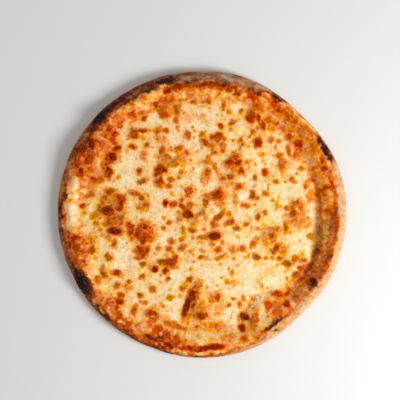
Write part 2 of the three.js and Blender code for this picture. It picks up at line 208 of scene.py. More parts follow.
# Ovals are listed by strength, as (x, y, length, width, turn). An upright one has no turn, and a round one
# no width either. A blister's strength is its heat: 0.4 golden, 0.6 orange, 0.8 red-brown, 1 nearly black.
browning = dict(
    # shifts that tear the outlines of the ovals, as (amount, spacing, seed)
    raggedX=[(1.6, 7.5, 21), (1.3, 3.1, 23), (0.6, 1.7, 25)],
    raggedY=[(1.6, 7.5, 61), (1.3, 3.1, 63), (0.6, 1.7, 65)],
    roundBelow=7.5, tornPower=1.5,  # small ones stay round
    darkFrom=(0.86, 0.94), darkRoundness=0.6,  # and so do the darkest
    core=(-1.1, 0.9), coreShare=0.3, haloInside=0.16, haloLeast=0.45, haloGrowth=0.09,
    patches=[(0.3, 5, 31)], patchedAbove=12,
    halo=3.4,  # orange round each blister
    glow=7.5, glowHeat=0.3, glowGain=0.44, glowMost=0.22,  # golden, further out
    warmth=0.085, warmPatches=[(0.09, 7, 47)], warmthHidden=0.75, hiddenFrom=(0.3, 0.7),
    bandStrength=0.95, bandStray=[(1.7, 8, 71)], bandPatches=[(0.14, 6, 72)],
    paleHalo=3, paleness=0.85, staysOver=(0.3, 0.55),
    goldenHalo=6,
    # many of the small ones are more golden than red
    small=dict(below=6.5, coolerThan=0.8, seed=88, halo=4, gold=0.85),
    dots=dict(count=540, reach=127, least=2, most=4, longest=1.4, coolest=0.22, hottest=0.52, stray=14,
              seed=61, crowding=0.62, crowds=[(0.45, 33, 62)], moreRightwards=0.001, halo=2.2,
              gold=0.5, goldFrom=(0.06, 0.3), redFrom=(0.55, 0.7)),
    # where the cheese is yellower
    pools=0.4, poolPatches=[(0.34, 24, 37), (0.2, 9, 39)], poolGlow=0.4,
    blisters={
        .2: [(10, -58, 12, 10)],
        # painted shade along the pleat in the cheese
        .22: [(52, -90, 24, 5, 60)],
        .26: [(-7, 101, 22, 12), (70, -60, 12, 8)],
        .3: [(26, 33, 12, 5), (17, -100, 10, 14), (10, -118, 40, 10, 2)],
        .34: [(-54, -55, 5), (60, -122, 16, 6, 28)],
        .36: [(34, 116, 14, 8), (62, 62, 10, 7), (-30, 58, 30, 21, -12), (77, 8, 3, 9), (106, -10, 16, 12),
              (65, -25, 5, 16), (-79, -78, 10, 8), (-5, -95, 12, 24)],
        .38: [(-44, 77, 9, 8), (-114, 38, 24, 14, 50)],
        .4: [(-107, -16, 3.5), (-105, -22, 3.5), (84, -38, 12, 8)],
        .42: [(-63, 7, 10, 8), (18, 10, 10, 6), (-98, -25, 4.5, 5), (-52, -102, 14, 8, 20),
              (-3, -104, 18, 12, -20), (2, -98, 12, 8)],
        .44: [(109, 68, 12, 14, 30), (114, 18, 10, 14), (-112, -2, 10, 8)],
        .46: [(-102, 84, 28, 22, 45), (104, 84, 9), (34, 48, 12, 12, 40), (-96, 15, 20, 10),
              (34, 15, 5, 10), (-9, -8, 10, 9), (-126, -33, 25, 27), (30, -71, 14, 6, 5),
              (92, -78, 14, 12, 40)],
        .48: [(74, 91, 12, 9), (104, -70, 14, 12, 60)],
        .5: [(-121, 50, 36, 24, 65), (3, 35, 10), (84, -3, 3, 4), (-20, -19, 3.5), (74, -28, 4, 7, -35),
             (-12, -39, 4, 3), (13, -88, 14, 11), (-1, -104, 14, 13), (76, -96, 10, 9)],
        .52: [(-110, 64, 36, 24, 50), (100, 4, 13, 20), (100, -7, 15, 8), (66, -46, 3), (30, -62, 4, 6)],
        .54: [(30, 88, 3.5), (-61, 60, 7, 8)],
        .55: [(-139, 38, 5, 8, 20)],
        .56: [(-1, 83, 4.5), (22, 72, 5, 6), (-92, -6, 22, 14), (27, -1, 5, 4), (0, -38, 5, 4),
              (62, -75, 4), (97, -70, 7, 6), (79, -97, 14, 10, 30), (-46, -120, 10, 5, -15)],
        .58: [(-62, 121, 10, 8, 25), (28, 107, 4, 3.5), (-28, 52, 10, 6), (-33, 36, 6, 5), (-24, -6, 5, 6),
              (-112, -84, 20, 12, -45)],
        .6: [(80, 76, 3.5), (90, 80, 8, 6), (108, 78, 4), (112, 84, 10, 6, -55), (9, 71, 8, 5, -25),
             (96, 60, 3.5), (116, 70, 12, 5, -60), (6, 59, 3.5), (14, 47, 3, 8, 20), (84, 52, 8, 11),
             (-25, 38, 3.5), (-116, 21, 6), (8, 18, 12, 9), (-13, 9, 7), (-41, -15, 4), (112, -24, 6, 7),
             (-46, -36, 4), (-44, -64, 3), (-5, -75, 7, 9), (-10, -84, 18, 12, 76), (42, -86, 3),
             (-92, -98, 12, 9, -40), (80, -104, 13, 8, 35), (98, -104, 16, 7, 44), (-30, -116, 18, 5, -20),
             (16, -116, 6, 5), (38, -108, 4, 8), (44, -132, 8, 4, 16)],
        .62: [(-39, 117, 22, 12, 5), (-26, 91, 3), (68, 98, 8), (83, 91, 6, 5, -20), (86, 99, 5, 4),
              (104, 90, 12, 5, -50), (123, 60, 16, 5, -60), (3, 54, 6, 3), (46, 54, 4),
              (125, 55, 10, 6, -66), (112, 35, 4), (132, 40, 18, 5, -68), (88, 6, 4), (-22, -27, 5, 4),
              (74, -16, 16, 4), (-1, -45, 6, 3.5, 10), (10, -31, 5, 4), (18, -46, 8, 4, 15),
              (97, -47, 6, 5), (-51, -110, 11, 5, 20), (54, -110, 9, 16, -10)],
        .64: [(5, 133, 50, 6), (31, 96, 7, 6), (100, 65, 9, 13, 20), (93, 36, 6, 5), (12, -12, 7),
              (2, -25, 12, 4), (57, -26, 4), (-33, -88, 8, 6), (-41, -97, 4, 3), (-14, -96, 25, 12, 76)],
        .66: [(-30, 130, 12, 5), (-44, 110, 14, 5), (1, 117, 4, 3), (22, 113, 3.5, 9), (56, 110, 7, 5),
              (-84, 98, 6), (22, 78, 3.5), (53, 85, 5, 4), (71, 77, 5), (-36, 60, 8, 6), (12, 64, 5),
              (42, 73, 4, 3), (81, 61, 6), (90, 66, 4, 10, 10), (82, 50, 7, 8), (103, 47, 5),
              (-107, 35, 7, 5), (-22, 44, 4.5, 5), (-35, 29, 6, 5), (66, 21, 5, 4), (108, 28, 4, 5),
              (-22, 14, 4), (1, 2, 3, 5), (65, 1, 4, 5), (103, 6, 5, 8), (-111, -10, 4), (-33, -29, 5),
              (-2, -25, 8, 3, -5), (-124, -43, 8, 5), (-63, -39, 14, 13), (31, -38, 4, 6), (53, -31, 5, 6),
              (-104, -56, 3, 4), (-110, -68, 8, 6, -50), (32, -89, 5, 4), (-5, -104, 6, 5), (38, -95, 4, 6),
              (-96, -112, 18, 7, -42), (3, -116, 3), (-28, -133, 14, 5, -15), (60, -126, 14, 7, 28)],
        .68: [(-2, 135, 12, 6), (-20, 133, 12, 6, 8), (-27, 108, 5, 10, 10), (-16, 82, 6, 7),
              (40, 77, 4, 5), (-104, 50, 5, 12, 10), (77, 34, 6, 4), (57, 16, 4), (-3, 0, 3, 4),
              (46, -11, 5, 4), (-21, -35, 7, 6, 30), (75, -39, 6), (-77, -71, 4), (-52, -79, 6),
              (-21, -77, 6), (-61, -93, 5, 4), (-37, -113, 5), (14, -117, 4, 5), (-74, -128, 14, 6, -30)],
        .7: [(22, 132, 10, 7), (52, 124, 12, 8, -25), (-10, 117, 7, 4), (6, 119, 6, 8),
             (-111, 100, 8, 12, 50), (-106, 90, 7, 7, 40), (-27, 98, 4, 5), (76, 94, 7, 4.5),
             (88, 103, 12, 8, -40), (-17, 64, 6, 5), (21, 66, 4, 5), (-117, 46, 7, 6), (5, 43, 6, 8),
             (21, 37, 5.5, 4), (55, 38, 4, 6), (-70, 21, 12, 4, -20), (17, 20, 13, 11), (38, 28, 7, 6),
             (-107, 5, 6, 9), (-104, 12, 4, 6), (45, 8, 8, 5, -10), (98, 12, 8, 7), (-36, -9, 5, 4),
             (87, -14, 4, 9), (-127, -27, 8, 10), (71, -22, 7, 9), (-98, -45, 7), (-92, -31, 5, 8),
             (41, -36, 6), (-30, -56, 7, 4), (81, -47, 5, 4), (106, -48, 6, 4), (-65, -85, 5),
             (-98, -92, 9, 7, -40), (28, -96, 5, 4), (-23, -118, 11, 3, -30), (-39, -124, 10, 7, -15),
             (-12, -138, 14, 5, -4)],
        .72: [(36, 126, 9, 8), (-64, 106, 6, 5), (-36, 118, 10, 6), (40, 108, 5, 4), (-40, 104, 12, 8),
              (51, 101, 11, 13), (-47, 86, 5), (-58, 71, 5), (-25, 69, 7, 4, 10), (29, 38, 7, 6),
              (-90, 7, 14, 10), (-59, 8, 6), (-31, 10, 10, 5), (-98, -10, 8, 5), (-86, -4, 8, 6),
              (29, -9, 8, 6, 10), (36, -15, 7, 4.5, -10), (58, -3, 4, 7, -10), (-62, -20, 19, 19, 10),
              (-66, -45, 8, 5, 10), (-35, -36, 5, 4), (16, -37, 7, 6), (126, -49, 8), (-89, -75, 5, 6),
              (-63, -66, 5), (-13, -69, 5), (122, -62, 14, 7, 58), (-87, -105, 8), (-77, -120, 12, 7, -32),
              (-56, -133, 14, 6, -24)],
        .74: [(-66, 132, 16, 6, 27), (27, 130, 8, 6), (76, 112, 22, 11, -35), (-39, 87, 5), (-112, 62, 8),
              (-105, 73, 8, 7), (-74, 70, 7, 6), (-42, 66, 5, 8), (-64, 16, 5, 6), (-141, -34, 5, 10),
              (-131, -35, 9, 12), (-104, -63, 9, 5, -35), (-72, -101, 7, 8), (-77, -115, 6, 5)],
        .76: [(-86, 92, 7, 9, 20), (-61, 100, 5.5, 5), (-131, 53, 12, 8, 65), (-128, 41, 8, 12, 10),
              (-102, 17, 5, 6), (3, 11, 6, 9), (96, 0, 6, 8), (-133, -26, 9, 10), (-11, -17, 7, 4, -10),
              (135, -29, 12, 5, 80), (-117, -38, 7, 9), (57, -45, 6.5, 6), (-132, -48, 9, 7, 60),
              (-44, -50, 7, 5), (88, -52, 8, 5, 10), (-85, -85, 6, 5), (16, -88, 6, 7), (68, -95, 8, 12),
              (99, -91, 6), (-40, -127, 10, 6, -15)],
        .78: [(-74, 104, 9, 7, 30), (-118, 78, 12, 9, 45), (-63, 87, 11, 4.5), (2, 75, 9, 6, -30),
              (-126, 62, 8, 7, 60), (-118, 57, 13, 10, 30), (29, 54, 8, 7, 30), (-98, 23, 9, 6),
              (52, 20, 6, 7), (137, 1, 6), (17, -3, 13, 5, 42), (78, -35, 6, 7), (-62, -53, 6, 5),
              (-36, -68, 5, 4), (99, -63, 10, 6, 40), (-49, -130, 16, 7, -20)],
        .79: [(-63, 34, 7, 6)],
        .8: [(57, 99, 8), (63, 91, 6, 10, 10), (-93, 76, 6, 9, 20), (100, 73, 9, 8), (-66, 44, 5),
             (40, 44, 8, 7), (65, 43, 7, 6), (-126, 9, 6, 5), (-17, 3, 7, 6, -60), (138, -8, 26, 7, 86),
             (-66, -37, 6, 7), (131, -44, 18, 8, 71), (113, -52, 8, 6), (-6, -118, 3)],
        .82: [(57, 75, 9), (-115, 73, 14), (34, 60, 8, 7), (-45, 34, 8), (-14, 24, 10), (-21, 8, 8, 5, -30),
              (-38, -60, 6, 8), (-35, -51, 16, 7, 16), (105, -57, 10, 7, 30), (-90, -62, 9, 6),
              (-54, -104, 12, 6, -10)],
        .84: [(-16, 135, 6, 4), (19, 91, 5, 6), (49, 99, 7, 6), (-72, 83, 12, 9, 10), (-90, 69, 10, 5, 25),
              (-96, 59, 14, 12, 20), (37, 53, 8), (-99, 43, 8, 12, 10), (134, 31, 12, 4, -65),
              (-86, 15, 11, 10, 10), (16, 20, 7), (-75, -15, 8, 13, 15), (-67, -22, 7), (-62, -30, 6),
              (-56, -24, 5), (-58, -38, 5, 7), (119, -38, 5, 7), (-29, -46, 6, 5, 30), (78, -84, 9, 7),
              (88, -83, 8, 4, 25)],
        .86: [(-97, 84, 17, 15, 20), (15, 79, 10, 9, 10), (-88, -92, 10, 6, -30)],
        .87: [(-12, -85, 14, 8, 76)],
        .88: [(20, 133, 6, 5), (-48, 115, 7), (-45, 45, 12, 9, 20), (126, 47, 7, 5), (-60, -13, 5),
              (-16, -2, 9, 8), (-138, -32, 4, 9)],
        .89: [(0, -105, 10, 9)],
        .9: [(138, 22, 9, 3, -75), (87, -94, 7, 8)],
        .92: [(-99, 3, 14, 10, -10), (-50, -58, 6, 7), (41, -119, 7, 8, 30)],
        .94: [(43, -107, 9, 8)],
        .95: [(-125, 68, 12, 10, 30), (-17, -97, 23, 7, 76), (13, -138, 20, 6, 2)],
        .96: [(-126, 45, 5, 7, 20), (-39, 11, 5, 6)],
        .98: [(-92, -18, 14, 8.5, -10)],
        1: [(12, -23, 13, 7.6, 5)],
    },
    # red-brown along the rim, (from, to, radius, width, heat); those at radius 118.5 and 122.5, at the foot
    # of the right rim's wall, are painted shade
    arcs=[
        (-52, -28, 138, 6, .7), (-34, 2, 136.8, 13, .84), (-26, 12, 118.5, 6, .32), (-17, 2, 131, 10, .5),
        (-2, 14, 122.5, 4, .62), (2, 29, 128, 13, .55), (2, 26, 136.5, 5, .74), (12, 26, 122.5, 4, .58),
        (28, 52, 141, 6, .62), (56, 84, 137, 7, .68), (76, 107, 134.5, 8, .84), (100, 130, 121, 5, .52),
        (112, 158, 142.5, 7, .74), (152, 182, 146, 6, .7), (158, 184, 142, 5, .42), (180, 190, 144, 5, .7),
        (188, 214, 141.5, 5, .78), (216, 248, 144, 5, .7), (228, 262, 136.5, 6, .66),
        (254, 278, 139.5, 6.5, .9)],
    # bare brown dough between the cheese and the lip
    doughy=[(-42, -5, 128.5, 14, .6)],
    # hardly warmed; some strips are painted highlight where the cheese faces the lamp, as noted at their
    # groups
    pale={
        .12: [(117, 50, 34, 7, -64)],
        .2: [(84, -100, 4, 6, 20)],
        .3: [(49, 118, 6, 5), (81, 82, 10, 8), (90, 87, 8, 6), (52, 38, 12, 10), (-21, 23, 7, 6),
             (-40, -42, 7, 6), (3, -34, 8, 6), (88, -76, 8)],
        .4: [(-57, 120, 12, 8, 25), (45, 57, 6, 5), (52, 4, 12, 8), (-127, -32, 3, 6, 10), (110, -44, 6, 8),
             (97, -57, 8, 6), (-46, -66, 12, 10), (-70, -89, 8), (0, -87, 7, 8), (-43, -101, 8, 7),
             (-60, -120, 10, 8, -30), (60, -117, 8, 6, 20), (-19, -126, 14, 6, -10)],
        # (62, -104) is a painted highlight, on the face of the fold by the pleat that is turned to the lamp
        .5: [(-31, 78, 12), (12, 88, 14, 6), (-113, 64, 2.4, 7, 20), (-108, 56, 2.4, 10, -12),
             (107, 24, 7, 8), (125, -18, 6, 16, -8), (-112, -64, 8), (-23, -105, 6),
             (31, -104, 10, 26, -10), (62, -104, 5, 14, -12)],
        # the long narrow strips near x -133 here and in the next three groups lie on the inner wall of the
        # left rim, which faces the lamp: partly pale cheese and partly painted highlight
        .6: [(-50, 101, 10, 12), (-81, 84, 7, 16), (97, 15, 2.4, 3), (99, 5, 3, 2.4), (114, 4, 4, 12),
             (-135, -3, 10, 3, 100), (108, -38, 8, 10), (76, -68, 24, 8, 30), (40, -78, 34, 13, 40),
             (-29, -106, 14, 9, -30)],
        .7: [(35, 112, 10, 7), (-32, 62, 7, 4, 10), (-28, 47, 8, 3, 10), (9, 30, 9, 8),
             (-132, 21, 11, 3, 100), (109, -32, 8, 18), (-28, -94, 12, 16, 74)],
        .8: [(-133, 31, 14, 4.5, 80), (42, 18, 9, 8), (78, -3, 12, 10)],
        .9: [(-136, 5, 12, 6, 75), (-28, -68, 16, 12, 70)],
    },
    # yellower and softer than the rest
    golden={
        .2: [(58, -108, 9, 14, -30)],
        .3: [(66, 84, 18, 14), (118, 52, 16, 34, 30), (12, -60, 9, 8), (76, -70, 16, 10)],
        .32: [(-66, -62, 14, 10)],
        .34: [(-80, 62, 12, 16), (10, 72, 14, 12), (-12, -10, 16, 12), (-96, -50, 12, 9),
              (-50, -96, 16, 10), (-1, -92, 13, 26)],
        .36: [(92, 50, 12, 9), (-63, 16, 12, 8)],
        .38: [(70, -10, 12, 8)],
        .4: [(28, 107, 4), (-88, 44, 10, 14), (-120, 14, 14, 26), (-30, 14, 14, 10), (106, -10, 16, 12)],
        .42: [(17, 67, 10, 9), (61, 63, 7, 5), (-107, -17, 4), (-105, -22, 4), (-98, -25, 5),
              (0, -41, 9, 7), (18, -42, 10, 8), (-34, -88, 7, 5)],
        .45: [(128, 26, 13, 50, 12), (-78, -25, 4), (-53, -33, 4)],
        .46: [(64, -32, 4, 12), (29, -71, 14, 6, 5)],
        .48: [(111, -22, 9, 10), (30, -62, 4, 7)],
        .5: [(-46, 122, 26, 6, 18), (100, 90, 60, 12, -48), (-112, 58, 34, 30, 50), (-118, 0, 16, 22, 20),
              (100, 4, 13, 20), (27, -1, 6, 5), (103, -38, 7, 8), (0, -128, 70, 7)],
        .52: [(34, 14, 5, 9)],
        .6: [(8, 125, 44, 8), (-76, 108, 30, 7, 35), (-98, 92, 8, 26, -42), (34, 15, 5, 10),
             (77, 8, 4, 11)],
        .7: [(-33, -88, 8, 6)],
        .8: [(-114, 38, 22, 14, 50), (-125, -34, 20, 26, 10), (84, -38, 12, 8), (46, -57, 7, 9)],
        .9: [(30, -71, 14, 7, 5), (63, -70, 8, 10, 10)],
        1.3: [(2, 134, 76, 9)],
        1.9: [(133, -22, 18, 60, -10)],
    },
)

# The slope that climbs from the white bed to the lip; the tables hold a value for each bearing
slopeBake = dict(
    # radius where the browned slope with its oil starts
    whiteEdge={
        0: 118, 40: 117, 46: 120, 60: 121, 75: 122, 90: 118, 130: 119, 148: 108, 160: 112, 168: 119,
        186: 122, 194: 118, 204: 130, 240: 131, 252: 122, 262: 126, 288: 126, 298: 126, 307: 122, 318: 117,
        328: 121, 338: 122.5, 349: 120},
    heat={
        0: .53, 14: .51, 24: .49, 31: .46, 40: .49, 60: .51, 80: .48, 108: .44, 130: .46, 145: .53,
        160: .51, 177: .45, 186: .41, 196: .51, 212: .47, 225: .51, 250: .59, 264: .42, 284: .43, 300: .44,
        318: .58, 335: .62, 350: .53},
    mottling={
        0: .9, 28: 1.1, 60: .95, 84: .65, 112: .8, 128: .7, 143: .8, 152: 1.1, 165: 1, 200: 1.05, 250: 1.35,
        263: .8, 286: .7, 300: .9, 325: 1, 345: .7},
    # how much the oil deepens its colour, and how much it is painted lighter as a painted reflection
    oilAndSheenShare={
        0: .35, 14: .5, 30: .65, 46: .45, 60: .5, 90: .2, 120: .25, 150: .15, 180: .1, 210: 0, 240: .25,
        265: .4, 300: .5, 330: .3},
    edgeTear=[(2.2, 9, 41)], edgeBlur=4,
    patches=[(0.19, 10, 34), (0.146, 5, 31)],
    streaks=[(0.1, 3.4, 33)], streakRadius=130, streakStretch=0.3,  # where the oil ran
)

# The lip, which is bare dough
lipBake = dict(
    start={
        0: 141.5, 10: 140.5, 24: 142, 42: 145.5, 58: 145, 70: 137.5, 100: 138, 120: 139, 150: 142, 175: 146,
        205: 144, 240: 145.5, 262: 147.5, 285: 143.5, 300: 138.5, 315: 135.5, 330: 139, 345: 143},  # radius
    # how greyish with flour it is; the grey near bearing 60 to 105, turned from the lamp, is partly flour
    # and partly painted shade
    flour={
        0: .15, 30: .3, 60: .6, 80: .65, 105: .45, 125: .25, 150: .1, 175: .2, 195: .35, 215: .3, 235: .15,
        270: .25, 300: .3, 330: .1},
    # how brown it is; darker on the side turned from the lamp, partly real browning and partly painted shade
    brown={
        0: 0, 15: .15, 35: .35, 60: .6, 90: .8, 120: .95, 150: .82, 163: .6, 182: .74, 200: .74, 240: .74,
        254: .8, 270: .58, 284: .4, 292: .26, 308: .08, 335: 0},
    tear=[(2.1, 8, 44)], blur=1.8, outward=(-2, 6),
    innerBrown=0.16, outerBrown=-0.04, doughyBrown=0.6,
    patches=[(0.2, 11, 49), (0.1, 4, 77)],
    # down the side it is paler, more mottled and dusted with flour
    side=(3, 10), sideTear=[(2.2, 10, 76)], sideBrown=0.5, sidePatches=[(0.14, 11, 49)],
    flourPatches=[(0.6, 9, 74)], dusting=0.5, dustPatches=[(0.35, 7, 75)],
)

# What stands black or dark brown on the rim, and two faint marks of painted shade along the pleat in the
# cheese
charring = dict(
    halo=4, endsDown=(6, 12),
    spots={
        # painted shade along the pleat in the cheese
        .17: [(31, -112, 6, 22, -8)],
        .22: [(53, -91, 26, 7, 56)],
        .4: [(10, 136, 7, 2.5), (-54, 134, 8, 3.5, 22), (-143, 18, 9, 4, 83), (119, -38, 4, 5)],
        .42: [(22, 134, 6, 4), (36, 126, 5), (56, 125, 6, 4, -20), (-44, -128, 8, 3, -15)],
        .44: [(43, -107, 9, 8, 15)],
        .45: [(-102, 98, 10, 6, 45), (76, -121, 5, 3, 20), (-42, -139, 6, 3, -15), (-33, -139, 5, 2.5)],
        .5: [(-15, 136, 7, 3, 5), (-78, 124, 9, 4, 30), (-113, 91, 14, 6, 50), (82, -108, 5, 3, 30),
             (-55, -127, 10, 4, -22), (-7, -148, 7, 2)],
        .6: [(78, 120, 11, 3.5, -33), (121, 76, 8, 5, -60), (-149, 5, 3, 7), (-131, -59, 6, 5, -60),
             (-119, -81, 6, 5, -55), (70, -117, 12, 3, 33)],
        .62: [(-85, 119, 8, 4.5, 35)],
        .65: [(132, 59, 7, 5, -66), (76, -112, 9, 3, 36)],
        .66: [(-92, 114, 8, 4, 40), (115, -70, 6, 7, 20)],
        .8: [(-98, 107, 10, 6, 40), (127, 68, 12, 6, -63)],
        .85: [(-38, 138, 16, 4.5, 14)],
        .95: [(-107, 100, 14, 9, 45)],
        1: [(-125, -71, 25, 10.5, -61)],
    },
)


def oval(strength, x, y, length, width=None, turn=0):
    return x, y, length, width or length, turn, strength


def ovals(groups):
    return [oval(strength, *listed) for strength, group in groups.items() for listed in group]


def mottled(x, y, waves):  # each wave in three sizes, each turned so that no grid shows
    total = np.zeros(np.shape(x))
    for amount, scale, seed in waves:
        for octave in range(3):
            turn = 0.6 + 1.1 * octave
            along = x * math.cos(turn) + y * math.sin(turn)
            across = y * math.cos(turn) - x * math.sin(turn)
            total += amount * 0.62 ** octave * billow(along, across, scale / 2 ** octave, seed + octave)
    return total


class Places:  # points of the skin, in millimetres; drop is how far down the side of the rim they lie
    def __init__(self, radius, angle, drop):
        self.radius, self.angle, self.drop = radius, angle, drop
        self.x, self.y = plan(radius, angle)
        self.skinX, self.skinY = plan(radius + drop, angle)
        self.movedX = self.x + waved(self.skinX, self.skinY, browning["raggedX"])
        self.movedY = self.y + waved(self.skinX, self.skinY, browning["raggedY"])
        self.patchy = self.mottled(browning["patches"])
        self.tornRadius = radius + self.mottled(slopeBake["edgeTear"])

    def mottled(self, waves):
        return mottled(self.x, self.y, waves)

    def skinMottled(self, waves):
        return mottled(self.skinX, self.skinY, waves)

    def near(self, spot, reach):
        return np.hypot(self.x - spot[0], self.y - spot[1]) < max(spot[2], spot[3]) / 2 + reach

    def table(self, values):
        return np.interp(np.degrees(self.angle) % 360, list(values), list(values.values()), period=360)


def spotField(at, spots, halo):  # full inside each oval, and fading over the halo round it
    b = browning
    field = np.zeros(np.shape(at.x))
    for spot in spots:
        size, heat = min(spot[2], spot[3]), spot[5]
        near = at.near(spot, 2 * halo + 4)
        torn = min(1, (size / b["roundBelow"]) ** b["tornPower"])
        torn = torn * (1 - b["darkRoundness"] * smoothstep(heat, *b["darkFrom"]))
        x, y = lerp(at.x[near], at.movedX[near], torn), lerp(at.y[near], at.movedY[near], torn)
        away = (ovalReach(x, y, spot) - 1) * size / 2
        core = 1 - smoothstep(away, *b["core"])
        fade = halo * (b["haloLeast"] + b["haloGrowth"] * size)
        outer = 1 - smoothstep(away, -b["haloInside"] * size, fade)
        patchy = torn * at.patchy[near] * min(1, size / b["patchedAbove"]) ** 2
        field[near] = np.maximum(field[near], heat * (1 + patchy) * lerp(outer, core, b["coreShare"]))
    return field


def glowField(at, spots):  # what many neighbours add up to
    reach = browning["glow"]
    left = np.ones(np.shape(at.x))
    for spot in spots:
        near = at.near(spot, 2 * reach)
        away = np.maximum((ovalReach(at.x[near], at.y[near], spot) - 1) * min(spot[2], spot[3]) / 2, 0)
        left[near] *= 1 - browning["glowHeat"] * spot[5] * bell(away, reach)
    return 1 - left


def arcField(radius, angle, arcs):  # bands that follow the rim
    field = np.zeros(np.shape(radius))
    for start, end, middle, width, heat in arcs:
        turned = (np.degrees(angle) - (start + end) / 2 + 540) % 360 - 180
        beyond = np.maximum(np.radians(np.abs(turned) - (end - start) / 2), 0) * middle
        away = np.hypot(beyond, radius - middle)
        field = np.maximum(field, heat * (1 - smoothstep(away, 0.2 * width, 0.8 * width)))
    return field


def scatteredDots():  # small golden dots, one every golden turn, thinned out in patches
    rule = browning["dots"]
    dots = []
    for i in range(rule["count"]):
        radius = rule["reach"] * math.sqrt((i + 0.5) / rule["count"])
        angle = i * math.pi * (3 - math.sqrt(5))
        draw = [float(chance(i, k, rule["seed"])) for k in range(6)]
        x = radius * math.cos(angle) + rule["stray"] * (draw[0] - 0.5)
        y = radius * math.sin(angle) + rule["stray"] * (draw[1] - 0.5)
        crowd = waved(np.float64(x), np.float64(y), rule["crowds"]) + rule["moreRightwards"] * x
        if draw[2] < rule["crowding"] + crowd:
            size = lerp(rule["least"], rule["most"], draw[3] ** 2)
            heat = lerp(rule["coolest"], rule["hottest"], draw[4])
            dots.append((x, y, size * lerp(1, rule["longest"], draw[5]), size, 180 * draw[5], heat))
    return dots


def slopeToasting(at):
    s = slopeBake
    streaks = waved(at.angle * s["streakRadius"], at.radius * s["streakStretch"], s["streaks"])
    return at.table(s["heat"]) + at.table(s["mottling"]) * (at.mottled(s["patches"]) + streaks)


def toastFields(at, onSlope):  # how far the cheese is toasted, and how yellow it is
    b = browning
    listed = ovals(b["blisters"])
    spots = spotField(at, listed, b["halo"])
    dots = spotField(at, scatteredDots(), b["dots"]["halo"])
    glow = glowField(at, listed)
    softly = b["warmth"] + np.minimum(b["glowGain"] * glow, b["glowMost"]) + at.mottled(b["warmPatches"])
    heat = np.clip(np.maximum(spots, dots), 0, 1)
    shown = 1 - b["warmthHidden"] * smoothstep(heat, *b["hiddenFrom"])
    heat = heat + (1 - heat) * np.clip(softly, 0, 1) * shown
    heat = lerp(heat, np.maximum(heat, slopeToasting(at)), onSlope)
    bands = arcField(at.radius + at.mottled(b["bandStray"]), at.angle, b["arcs"])
    bands = bands * (b["bandStrength"] + at.mottled(b["bandPatches"]))
    heat = np.maximum(heat, bands) * (1 - b["paleness"] * spotField(at, ovals(b["pale"]), b["paleHalo"]))
    heat = np.maximum(heat, spots * smoothstep(spots, *b["staysOver"]))
    rule = b["small"]
    small = [spot[:5] + (float(chance(spot[0], spot[1], rule["seed"])),) for spot in listed
             if min(spot[2], spot[3]) < rule["below"] and spot[5] < rule["coolerThan"]]
    golden = np.maximum(spotField(at, ovals(b["golden"]), b["goldenHalo"]),
                        rule["gold"] * spotField(at, small, rule["halo"]))
    rule = b["dots"]
    goldenDots = smoothstep(dots, *rule["goldFrom"]) * (1 - smoothstep(heat, *rule["redFrom"]))
    pools = b["pools"] + at.mottled(b["poolPatches"]) + b["poolGlow"] * glow
    return dict(toasting=np.clip(heat, 0, 1), golden=np.maximum(golden, rule["gold"] * goldenDots),
                pools=np.clip(pools, 0, 1))


def doughFields(at):  # how brown, floury and charred the bare dough is
    b = lipBake
    pastLip = at.radius - at.table(b["start"])
    onLip = smoothstep(pastLip + at.mottled(b["tear"]), -b["blur"], b["blur"])
    outward = smoothstep(pastLip, *b["outward"])
    side = smoothstep(at.drop + at.skinMottled(b["sideTear"]), *b["side"])
    doughy = arcField(at.tornRadius, at.angle, browning["doughy"])
    brown = at.table(b["brown"]) * (1 - b["sideBrown"] * side) + b["doughyBrown"] * doughy
    brown = brown + lerp(b["innerBrown"], b["outerBrown"], outward)
    brown = brown + at.skinMottled(b["patches"]) + side * at.skinMottled(b["sidePatches"])
    char = spotField(at, ovals(charring["spots"]), charring["halo"])
    flour = at.table(b["flour"]) * outward * (1 + at.skinMottled(b["flourPatches"]))
    dusted = side * (b["dusting"] + at.skinMottled(b["dustPatches"]))
    return dict(lip=np.maximum(onLip, doughy), brown=np.clip(brown, 0, 1),
                char=char * (1 - smoothstep(at.drop, *charring["endsDown"])),
                flour=np.clip(np.maximum(flour, dusted), 0, 1))


def bakedFields(radius, angle, drop):
    at = Places(radius, angle, drop)
    blur = slopeBake["edgeBlur"]
    onSlope = smoothstep(at.tornRadius - at.table(slopeBake["whiteEdge"]), -blur, blur)
    return dict(slope=onSlope, oily=onSlope * at.table(slopeBake["oilAndSheenShare"]),
                **toastFields(at, onSlope), **doughFields(at))


underside = dict(  # pale and floury, with brown patches where it lay on the stone
    scorches=[(1, 10, 94)], scorchedFrom=(0.3, 1), scorchBrown=0.6, scorchChar=0.2,
    brown=0.26, brownPatches=[(0.16, 19, 91)], flour=0.6, flourPatches=[(0.35, 24, 97)],
)


def undersideFields(x, y):
    u = underside
    scorched = smoothstep(mottled(x, y, u["scorches"]), *u["scorchedFrom"])
    brown = u["brown"] + mottled(x, y, u["brownPatches"]) + u["scorchBrown"] * scorched
    flour = u["flour"] + mottled(x, y, u["flourPatches"])
    return dict(toasting=0, golden=0, slope=1, lip=1, brown=np.clip(brown, 0, 1),
                char=u["scorchChar"] * scorched, pools=0.5, oily=0, flour=np.clip(flour, 0, 1))


# Meshes made of rings

def zipRings(first, second):  # triangles between two rings, or between a ring and a single point
    faces = []
    i, j = 0, 0
    firstSteps, secondSteps = (len(ring) if len(ring) > 1 else 0 for ring in (first, second))
    while i < firstSteps or j < secondSteps:
        start, end = first[i % len(first)], second[j % len(second)]
        if (i + 1) * secondSteps < (j + 1) * firstSteps:
            i += 1
            faces.append((start, end, first[i % len(first)]))
        else:
            j += 1
            faces.append((start, end, second[j % len(second)]))
    return faces


